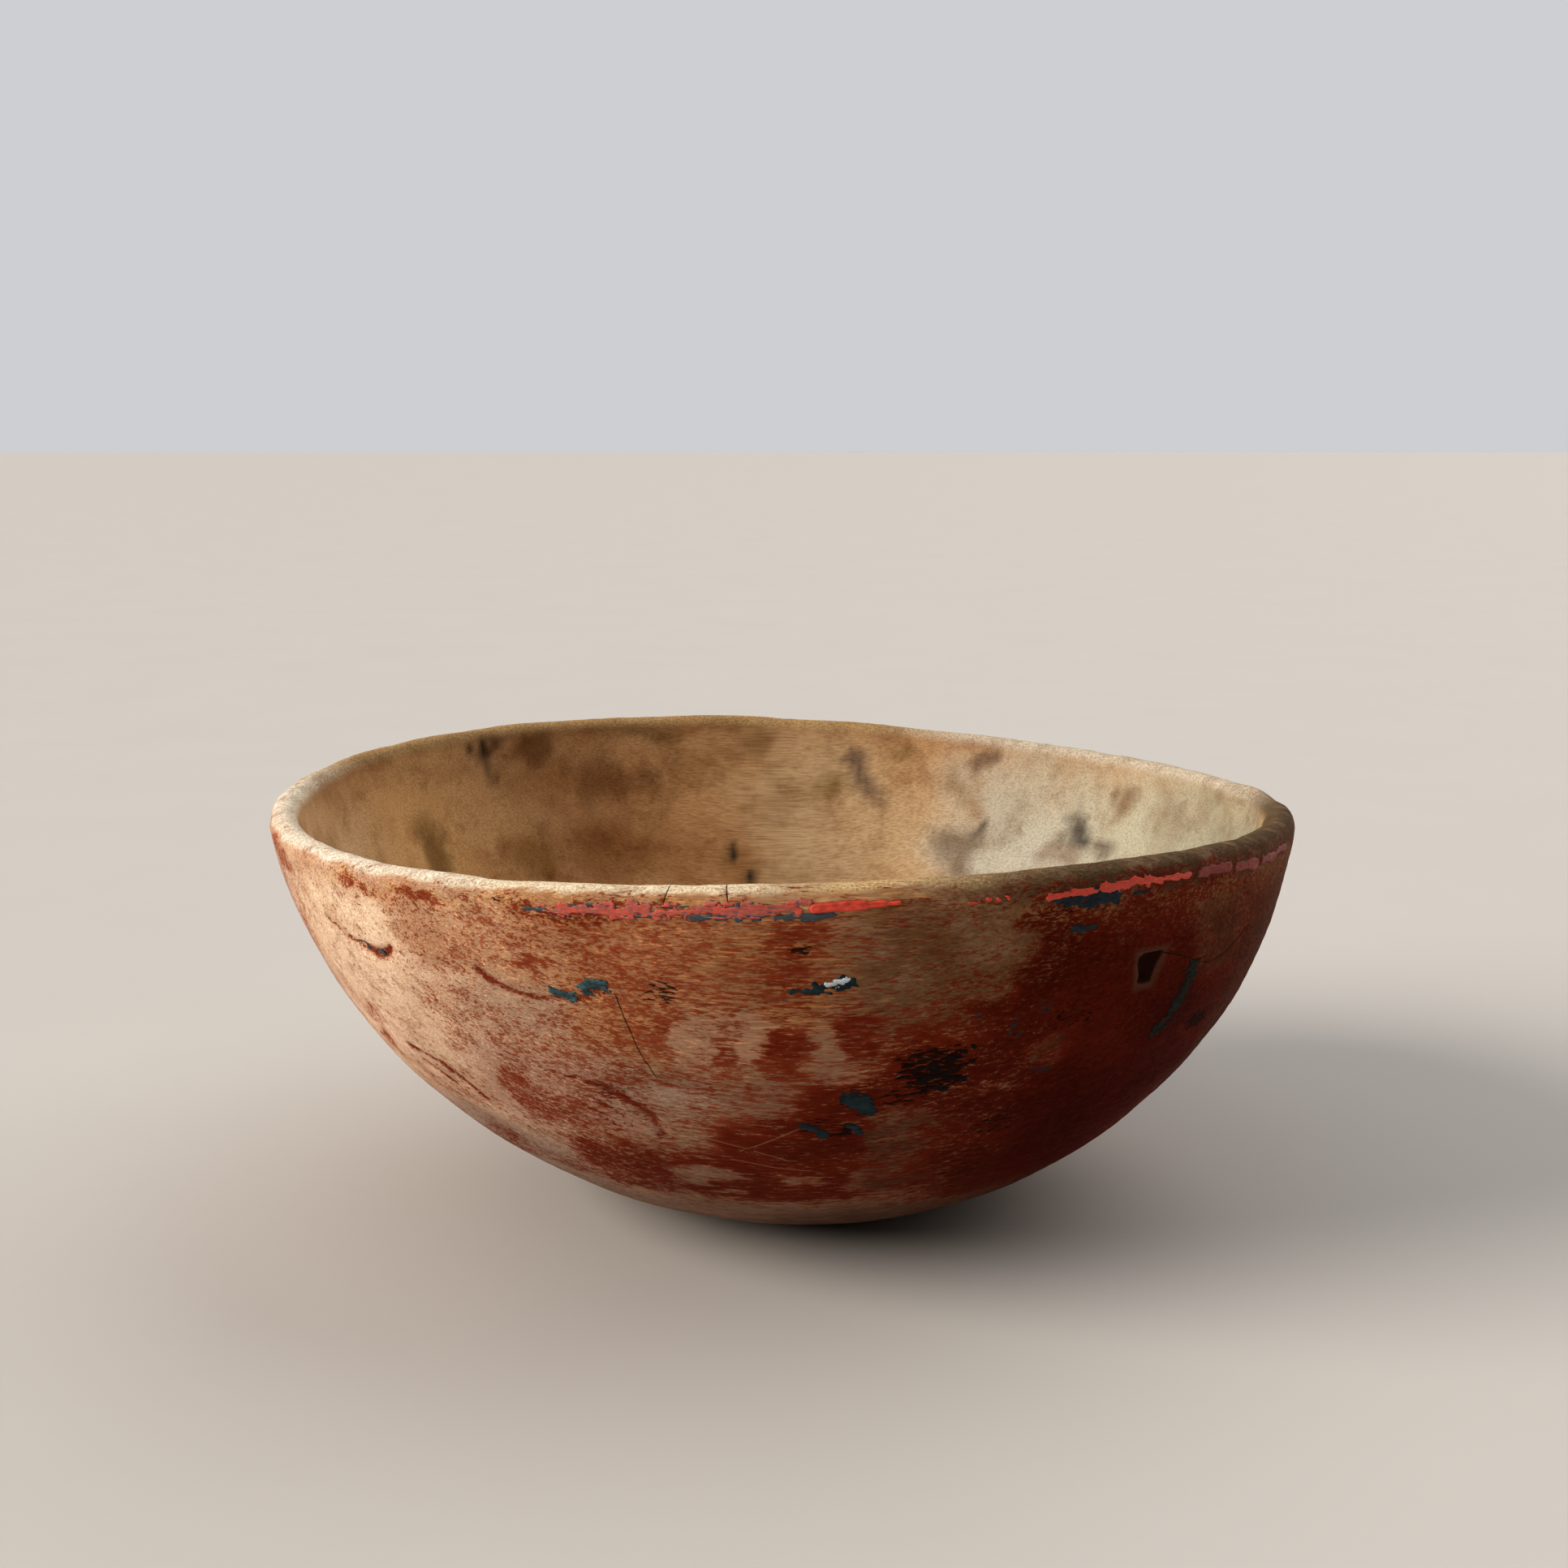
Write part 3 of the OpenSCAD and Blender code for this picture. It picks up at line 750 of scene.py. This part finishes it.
def line_distance(angle, down, lines):
    """Distance to the nearest of some lines in millimetres, negative on its one side and positive on the
    other, so that it runs evenly through nought between the mesh's points, and how near that line is."""
    signed, nearest = np.full(np.shape(angle), reach), np.full(np.shape(angle), far_away)
    for points in lines:
        for start, end in zip(points, points[1:]):
            away = distance(angle, down, [start, end])
            off = np.clip(off_line(angle, down, start, end), -reach, reach)
            signed = np.where(away < nearest, off, signed)
            nearest = np.minimum(nearest, away)
    return signed, 1 - rise(nearest, 0.5, 2.0)


crack_signed, crack_close = line_distance(angle_grid, down_grid, cracks)
scrape_signed, scrape_close = line_distance(angle_grid, down_grid, scrapes)

# The mesh: rings of points, a middle point below and above, all faces outwards
ring_points = wood_surface(angle_grid, down_grid).reshape(-1, 3)
count = len(wall_angles)
under_middle, inside_middle = len(ring_points), len(ring_points) + 1
middles = wood_surface(np.zeros(2), np.array([rim_length, rim_length - section_length[-1]]))
corner = np.arange(len(ring_points)).reshape(shape)
beside = np.roll(corner, -1, axis=1)
walls = np.stack([corner[:-1], beside[:-1], beside[1:], corner[1:]], -1).reshape(-1, 4)
under_fan = np.stack([np.full(count, under_middle), beside[0], corner[0]], -1)
inside_fan = np.stack([np.full(count, inside_middle), corner[-1], beside[-1]], -1)
faces = walls.tolist() + under_fan.tolist() + inside_fan.tolist()
bowl = add_mesh("turned_bowl", np.vstack([ring_points, middles]), faces, birch)


def with_middles(*fields):
    """Fields over the rings as rows of four numbers; the two middle points copy the rings beside them."""
    rows = np.concatenate([f.reshape(shape + (-1,)) for f in fields], -1)
    return np.vstack([rows.reshape(-1, 4), rows[0, 0], rows[-1, 0]])


paint_points(bowl, "wood", with_middles(wood_with_light_and_shade_rgb, oil_and_shade_share))
paint_points(bowl, "coat", with_middles(ochre_share, ochre_depth, dash_share, blue_share))
paint_points(bowl, "mark", with_middles(crack_signed, crack_close, np.squeeze(crest_share), 1 - is_outside))
paint_points(bowl, "line", with_middles(stroke_near, scrape_signed, scrape_close, slot_beyond))
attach(bowl, "root")
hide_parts("bowl_body")


# ----------------------------------------------
# Coral-red line. Thick oil paint, brushed round under the rim while the bowl turned, now broken into
# runs and flakes. Each run is a sheet of paint with a worn, ridged top and torn edges, keyed into the wood.
# ----------------------------------------------
film_cell = 0.28
film_root = 0.3
film_edge = -0.05


def film_mesh(name, strokes, thickness, torn_edge, seed, material):
    """Closed flakes of paint. Over a fine grid of cells round each stroke, the paint rises to its thickness
    where the share (1 - distance / half width) plus noise is above the film's edge, with ridges along the
    stroke. Cells without paint are dropped; each flake gets a top, a bottom just inside the wood and a wall
    round its edge."""
    places, heights, faces, first = [], [], [], 0
    for number, (points, half_width) in enumerate(strokes):
        angles = np.array([a for a, _ in points])
        downs = down_wall(np.array([d for _, d in points]))
        per_degree = section(downs.mean(), section_radius) * math.pi / 180
        margin = 1.5 * half_width + 0.3
        left, right = angles.min() * per_degree - margin, angles.max() * per_degree + margin
        across = np.arange(left, right, film_cell)
        fall = np.arange(downs.min() - margin, downs.max() + margin, film_cell * 0.8)
        angle, down = np.meshgrid(across / per_degree, fall)
        spot = section_places(angle, down)
        share = 1 - distance(angle, down, points) / half_width
        share = share + torn_edge * (
            0.35 * ripple(spot * [0.5, 0.7, 1], 4.5, seed + number)
            + 0.5 * ripple(spot * [0.35, 0.35, 1], 1.2, seed + 50 + number)
            + 0.25 * ripple(spot * [0.5, 0.5, 1], 0.8, seed + 90 + number)
        )
        ridges = 0.16 * ripple(spot * [0.25, 0.25, 1], 0.9, seed + 130)
        ridges = ridges + 0.16 * ripple(spot, 2.2, seed + 170)
        full = rise(share, film_edge, 0.4) * (1 + ridges * rise(share, 0.1, 0.6))
        has_paint = share > film_edge
        cell = has_paint[:-1, :-1] & has_paint[1:, :-1] & has_paint[:-1, 1:] & has_paint[1:, 1:]
        corner = np.arange(angle.size).reshape(angle.shape)
        a, b, c, d = corner[:-1, :-1], corner[:-1, 1:], corner[1:, 1:], corner[1:, :-1]
        top = np.stack([a, d, c, b], -1)[cell]
        under = angle.size
        sides = []
        for start, end, shift, axis in ((a, b, 1, 0), (c, d, -1, 0), (d, a, 1, 1), (b, c, -1, 1)):
            padded = np.pad(cell, 1)
            neighbour = np.roll(padded, shift, axis)[1:-1, 1:-1]
            edge = cell & ~neighbour
            sides.append(np.stack([start, end, end + under, start + under], -1)[edge])
        quads = np.vstack([top, top[:, ::-1] + under] + sides)
        upper = wood_surface(angle, down, thickness * full).reshape(-1, 3)
        lower = wood_surface(angle, down, -film_root).reshape(-1, 3)
        used, numbers = np.unique(quads, return_inverse=True)
        places.append(np.vstack([upper, lower])[used])
        heights.append(np.tile(full.ravel(), 2)[used])
        faces += (numbers.reshape(-1, 4) + first).tolist()
        first += len(used)
    piece = add_mesh(name, np.vstack(places), faces, material)
    height = np.clip(np.concatenate(heights), 0, 2)[:, None] / 2
    paint_points(piece, "film", np.hstack([height, height, height, np.ones_like(height)]))
    return piece


def old_paint(name, fresh, dull, dirt, under, roughness, shine=0.3, worn=0.6):
    """Old paint: colour varies with its thickness, grime sits in the low places and round the edges, a fine
    crackle crosses it, and worn pits show what lies under it. It is half matt, with soft lights on its
    ridges."""
    material = bpy.data.materials.new(name)
    material.use_nodes = True
    tree = material.node_tree
    tree.nodes.clear()
    place = put(tree, "TexCoord").outputs["Object"]
    height = put(tree, "SeparateColor", put(tree, "Attribute", attribute_name="film"))
    grain = {}
    for number, (length, width) in enumerate(((5, 0.5), (4, 1.6), (1.8, 0.35))):
        shift = (6.1 - 2.1 * number, 2.6 + number, 1.9)
        scale = (1000 / length, 1000 / width, 1000 / width)
        stretched = put(tree, "Mapping", place, shift, (0, 0, 0), scale)
        grain[number] = put(tree, "TexNoise", stretched, 1.0, 3.0, 0.6)
    brushed, mottle, pits = grain.values()
    crackle = put(tree, "TexVoronoi", place, 1000 / 1.3, feature="DISTANCE_TO_EDGE")
    colour = linear(fresh)
    for source, low, high, at_low, at_high, layer in (
        (mottle, 0.38, 0.62, 0.0, 1.0, dull),
        (brushed, 0.35, 0.6, 0.35, 0.0, dirt),
        (height, 0.1, 0.36, 0.7, 0.0, dirt),
        (pits, worn, worn + 0.06, 0.0, 0.75, under),
    ):
        share = put(tree, "MapRange", source, low, high, at_low, at_high)
        colour = put(tree, "Mix", share, colour, linear(layer), **mix)
    relief_height = put(tree, "MapRange", crackle, 0.0, 0.06, -0.5, 0.0)
    for source, weight in ((brushed, 1.0), (pits, 0.4)):
        relief_height = put(tree, "Math", source, weight, relief_height, **times_plus)
    bump = put(tree, "Bump", named={"Strength": 0.5, "Distance": 0.0001, "Height": relief_height})
    sheen = put(tree, "MapRange", mottle, 0.3, 0.7, roughness - 0.06, roughness + 0.08)
    finish = {"Base Color": colour, "Roughness": sheen, "Normal": bump, "Specular IOR Level": shine}
    put(tree, "OutputMaterial", put(tree, "BsdfPrincipled", named=finish))
    return material


coral = old_paint("oil_paint_coral_red_brushed", "#df5e49", "#bd6454", "#76443c", "#5c6264", 0.5, 0.2, 0.54)
coral_bead = old_paint("oil_paint_coral_red_raised", "#e2513b", "#d64935", "#8c3324", "#b8402c", 0.36)
coral_dull = old_paint("oil_paint_coral_red_rubbed", "#9c4a40", "#8a4038", "#462420", "#4c2c28", 0.5, 0.15)
bead_angles = [-107.2, -104.6, -103.2, -100.5, -96.6, -94.8, -93.0, -88.4, -87.2]
coral_runs = {
    "coral_line_front": (coral, 0.2, 0.95, 21, [
        ([(-115.4, 4.1), (-112.6, 4.0)], 0.35),
        ([(-114.4, 5.2), (-111.5, 5.4)], 0.45),
        ([(-112.4, 4.6), (-108, 4.7), (-104.6, 4.8)], 1.15),
        ([(-105, 4.5), (-100, 4.5), (-94, 4.4), (-88.2, 4.4)], 1.25),
        *[([(angle - 0.45, 3.0), (angle + 0.45, 3.05)], 0.6) for angle in bead_angles],
    ]),
    "coral_line_front_bead": (coral_bead, 0.55, 0.12, 26, [
        ([(-86.4, 4.4), (-84, 4.2), (-81.4, 4.0)], 1.1),
        ([(-81.4, 4.0), (-79.4, 3.85)], 0.75),
        ([(-79.6, 3.85), (-78, 3.75)], 0.5),
    ]),
    "coral_line_specks": (coral_bead, 0.3, 0.25, 31, [
        ([(-69.2, 4.2), (-68.9, 4.4)], 0.5),
        ([(-68.2, 4.3), (-67.9, 4.6)], 0.42),
        ([(-67.2, 4.1), (-66.9, 4.6)], 0.42),
        ([(-71.0, 4.9), (-70.2, 4.9)], 0.3),
    ]),
    "coral_line_right": (coral_bead, 0.28, 0.5, 41, [
        ([(-62.6, 5.0), (-59.6, 4.7), (-57.2, 4.6)], 0.75),
        ([(-56.4, 4.2), (-54, 3.9), (-51, 3.9)], 1.15),
        ([(-51.4, 3.9), (-48.6, 4.1), (-45, 4.3)], 0.8),
    ]),
    "coral_line_end_flakes": (coral_dull, 0.3, 0.3, 51, [
        ([(-43.2, 4.3), (-41, 4.1), (-38.4, 4.4)], 1.2),
        ([(-36.8, 4.8), (-34.5, 4.7), (-32.4, 5.4)], 1.2),
        ([(-30.8, 5.2), (-28.6, 5.2), (-26.8, 5.6)], 1.1),
        ([(-26.4, 4.7), (-24.8, 4.4), (-22.6, 4.9)], 0.9),
    ]),
    "coral_line_back": (coral_dull, 0.25, 0.5, 61, [
        ([(24, 4.4), (32, 4.2), (41, 4.2)], 1.2),
        ([(78, 4.0), (85, 4.2), (93, 4.2)], 1.2),
        ([(134, 4.3), (141, 4.1), (149, 4.1)], 1.1),
    ]),
}
for run, (material, thickness, torn_edge, seed, strokes) in coral_runs.items():
    piece = film_mesh(run + "_paint", strokes, thickness, torn_edge, seed, material)
    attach(piece, "root")
    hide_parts(run.removesuffix("_bead"))


# ----------------------------------------------
# Slate-blue coat. An older line in blue-grey paint, thin and matt, that shows in ragged slivers along
# the lower edge of the coral and where it has broken away.
# ----------------------------------------------
slate = old_paint("distemper_slate_blue", "#545e66", "#454f57", "#2a2b2c", "#5f473d", 0.6, 0.15)
# A darker copy of the slate coat for the slivers on the right side: painted shade
slate_shaded = old_paint("distemper_slate_blue_shaded", "#323e45", "#273137", "#16181a", "#36160e", 0.7, 0.06)
slate_runs = {
    "slate_blue_under_front": (slate, 0.14, 71, [
        ([(-116.6, 5.1), (-114, 5.0)], 0.5),
        ([(-113.4, 4.0), (-110.6, 3.9)], 0.4),
        ([(-109.4, 3.5), (-106.4, 3.5)], 0.35),
        ([(-105.6, 5.5), (-102.4, 5.6)], 0.4),
        ([(-102, 3.6), (-98.4, 3.5)], 0.35),
        ([(-98.6, 5.7), (-95.2, 5.7)], 0.55),
        ([(-95, 3.5), (-90.6, 3.5)], 0.4),
        ([(-94, 5.7), (-90.4, 5.6)], 0.8),
        ([(-90.4, 5.6), (-87.4, 5.7), (-84.8, 5.6)], 0.8),
    ]),
    "slate_blue_under_right": (slate_shaded, 0.15, 81, [
        ([(-62, 5.8), (-58.6, 6.1), (-54.8, 5.8)], 1.0),
        ([(-58.8, 7.4), (-54.8, 7.0)], 0.9),
        ([(-57.2, 4.6), (-56.6, 5.8)], 0.7),
        ([(-59.4, 12.5), (-57.2, 12.2)], 0.9),
        ([(-52.6, 6.4), (-50.6, 6.4)], 0.4),
    ]),
}
for node, (material, thickness, seed, strokes) in slate_runs.items():
    piece = film_mesh(node + "_paint", strokes, thickness, 0.9, seed, material)
    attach(piece, "root")
    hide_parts(node)


# ----------------------------------------------
# Blue flakes. Spots of a dark teal paint that dripped or rubbed off on the bowl, the first in a short
# gouge, the longest a streak down the right; they sit on the ochre as thin, hard-edged islands.
# ----------------------------------------------
teal = old_paint("oil_paint_dark_teal", "#426468", "#2f474c", "#1a1d1e", "#2c1a14", 0.5, 0.2, 0.56)
# A darker copy of the teal, for the flakes at the front and low down
teal_darker = old_paint("oil_paint_dark_teal_darker", "#24393e", "#1b2a30", "#101213", "#230f0a", 0.6, 0.1)
grey_green = old_paint("distemper_grey_green_thin", "#2c312c", "#222620", "#121310", "#33160f", 0.7, 0.04)
blue_spots = {
    "blue_flakes_left": (teal, "teal_blue_paint", 0.2, 1.2, 101, [
        ([(-143.2, 20.4), (-141.6, 20.8)], 0.5),
        ([(-140.4, 21.2), (-138.9, 21)], 0.55),
        ([(-115.1, 23.4), (-113.3, 24.6)], 1.0),
        ([(-111.3, 22.2), (-108.8, 21.3)], 1.15),
    ]),
    "blue_flake_centre": (teal_darker, "slate_blue_paint", 0.2, 0.8, 111, [
        ([(-89, 22), (-86.8, 21.8)], 0.8),
        ([(-86.4, 21.2), (-84.4, 20.6), (-82.8, 19.9)], 1.25),
    ]),
    "blue_flakes_low": (teal_darker, "teal_blue_paint", 0.2, 0.4, 121, [
        ([(-82.4, 47.8), (-80.9, 50)], 2.5),
        ([(-80.4, 50.6), (-79.8, 51.8)], 1.3),
        ([(-88.2, 55.2), (-86.8, 56.2), (-85.6, 57.8)], 1.1),
        ([(-82.6, 55.2), (-81.6, 56.2), (-81, 57.4)], 0.8),
    ]),
    "blue_streak_right": (grey_green, "slate_blue_paint", 0.12, 0.9, 131, [
        ([(-40.8, 25.5), (-40.8, 29), (-41.2, 33.4)], 1.7),
        ([(-41.4, 34), (-42, 37), (-43.4, 40.8)], 1.5),
    ]),
    "blue_flakes_back": (teal, "teal_blue_paint", 0.2, 0.7, 141, [
        ([(33, 27), (37, 28.4)], 1.3),
        ([(88, 46), (91.5, 44.6)], 1.7),
        ([(117, 21.6), (121, 22.6)], 1.2),
        ([(151, 52), (154, 53.6)], 1.6),
    ]),
}
for node, (material, slot, thickness, torn_edge, seed, strokes) in blue_spots.items():
    piece = film_mesh(node + "_paint", strokes, thickness, torn_edge, seed, material)
    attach(piece, "root")
    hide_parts(node)


# ----------------------------------------------
# White fleck. A spot of chalk white on the middle blue flake, and the brightest thing on the bowl.
# ----------------------------------------------
white = old_paint("chalk_white_paint", "#dfe6ea", "#c2ccd2", "#5b666c", "#3c464c", 0.55)
fleck_strokes = [
    ([(-85.4, 20.4), (-84.5, 20.2)], 0.5),
    ([(-84.4, 20.0), (-83.3, 19.6)], 0.6),
    ([(-84.5, 21.1), (-84.1, 21.0)], 0.35),
]
fleck = film_mesh("white_fleck_paint", fleck_strokes, 0.4, 0.6, 151, white)
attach(fleck, "root")
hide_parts("white_fleck")


# ----------------------------------------------
# Dark patch. Blackened, crusted remains of paint right of the middle, broken up along the fibres.
# ----------------------------------------------
black = old_paint("blackened_oil_paint_crust", "#1b0d0a", "#120a08", "#0a0605", "#38120a", 0.6, 0.06)
crust_strokes = [
    ([(-76.8, 40.4), (-75.4, 40.2)], 0.4),
    ([(-77.2, 43.2), (-75.2, 42.6)], 0.5),
    ([(-75.2, 38.4), (-73.6, 38.9)], 0.6),
    ([(-75.0, 41.2), (-72.6, 40.8)], 0.7),
    ([(-74.4, 44.0), (-71.6, 43.0)], 0.9),
    ([(-73.0, 42.2), (-70.6, 41.7)], 0.9),
    ([(-72.4, 39.4), (-70.4, 38.9)], 0.6),
    ([(-71.4, 43.9), (-69.2, 44.4)], 0.7),
    ([(-73.6, 45.9), (-71.0, 46.6)], 0.7),
    ([(-70.6, 37.2), (-69.4, 38.6)], 0.5),
    ([(-70.0, 41.2), (-68.6, 40.6)], 0.5),
    ([(-69.4, 35.4), (-68.8, 37)], 0.4),
    ([(-76.0, 47.4), (-74.2, 47.0)], 0.4),
    ([(-79.2, 49.8), (-76.4, 49.2), (-74.6, 48.8)], 0.3),
]
crust = film_mesh("dark_paint_crust", crust_strokes, 0.12, 1.3, 161, black)
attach(crust, "root")
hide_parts("dark_paint_patch")


# ----------------------------------------------
# Stand: a plain pale floor, soft light from a window on the left, the ceiling and the wall behind, and the
# camera, at half a metre.
# ----------------------------------------------
floor_half = 12000
paper = bpy.data.materials.new("matt_paper_floor")
paper.use_nodes = True
tree = paper.node_tree
tree.nodes.clear()
place = put(tree, "TexCoord").outputs["Object"]
spread_out = put(tree, "Mapping", place, (0, 0, 0), (0, 0, 0), (11, 11, 11))
cloudy = put(tree, "TexNoise", spread_out, 1.0, 2.0, 0.6)
unevenness = put(tree, "MapRange", cloudy, 0.3, 0.7, 0.0, 0.06)
tone = put(tree, "Mix", unevenness, linear("#c4c0ba"), linear("#a9a49c"), **mix)
finish = {"Base Color": tone, "Roughness": 0.8, "Specular IOR Level": 0.2}
put(tree, "OutputMaterial", put(tree, "BsdfPrincipled", named=finish))
corners = np.array([(-1, -1, 0), (1, -1, 0), (1, 1, 0), (-1, 1, 0)]) * floor_half
floor = add_mesh("floor", corners, [[0, 1, 2, 3]], paper)


def daylight(name, towards, strength, spread, colour):
    """Even light from one direction, softened over a spread in degrees."""
    light = bpy.data.lights.new(name, "SUN")
    light.energy, light.angle, light.color = strength, math.radians(spread), linear(colour)[:3]
    holder = bpy.data.objects.new(name, light)
    holder.rotation_euler = Vector(towards).to_track_quat("Z", "Y").to_euler()
    bpy.context.collection.objects.link(holder)


daylight("window_left", (-0.86, -0.26, 0.46), 3.7, 34, "#fff8f0")
daylight("ceiling", (-0.1, 0.05, 1.0), 1.3, 120, "#f6f8ff")
daylight("wall_behind", (0.62, 0.5, 0.6), 1.5, 80, "#fffaf4")

world = bpy.data.worlds.new("pale_room")
world.use_nodes = True
bpy.context.scene.world = world
tree = world.node_tree
tree.nodes.clear()
seen = put(tree, "LightPath").outputs["Is Camera Ray"]
dim = put(tree, "Background", linear("#c8c4bc"), 0.12)
wall = put(tree, "Background", linear("#d2d3d6"), 1.0)
put(tree, "OutputWorld", put(tree, "MixShader", seen, dim, wall))

camera_data = bpy.data.cameras.new("camera")
camera_data.lens = 46.6
camera_data.sensor_width = 36
camera = bpy.data.objects.new("camera", camera_data)
camera.location = (-0.0035, -0.4998, 0.1926)
camera.rotation_euler = (math.radians(90 - 10.16), 0, 0)
bpy.context.collection.objects.link(camera)
bpy.context.scene.camera = camera
bpy.context.scene.view_settings.view_transform = "Standard"
bpy.context.scene.view_settings.gamma = 0.9
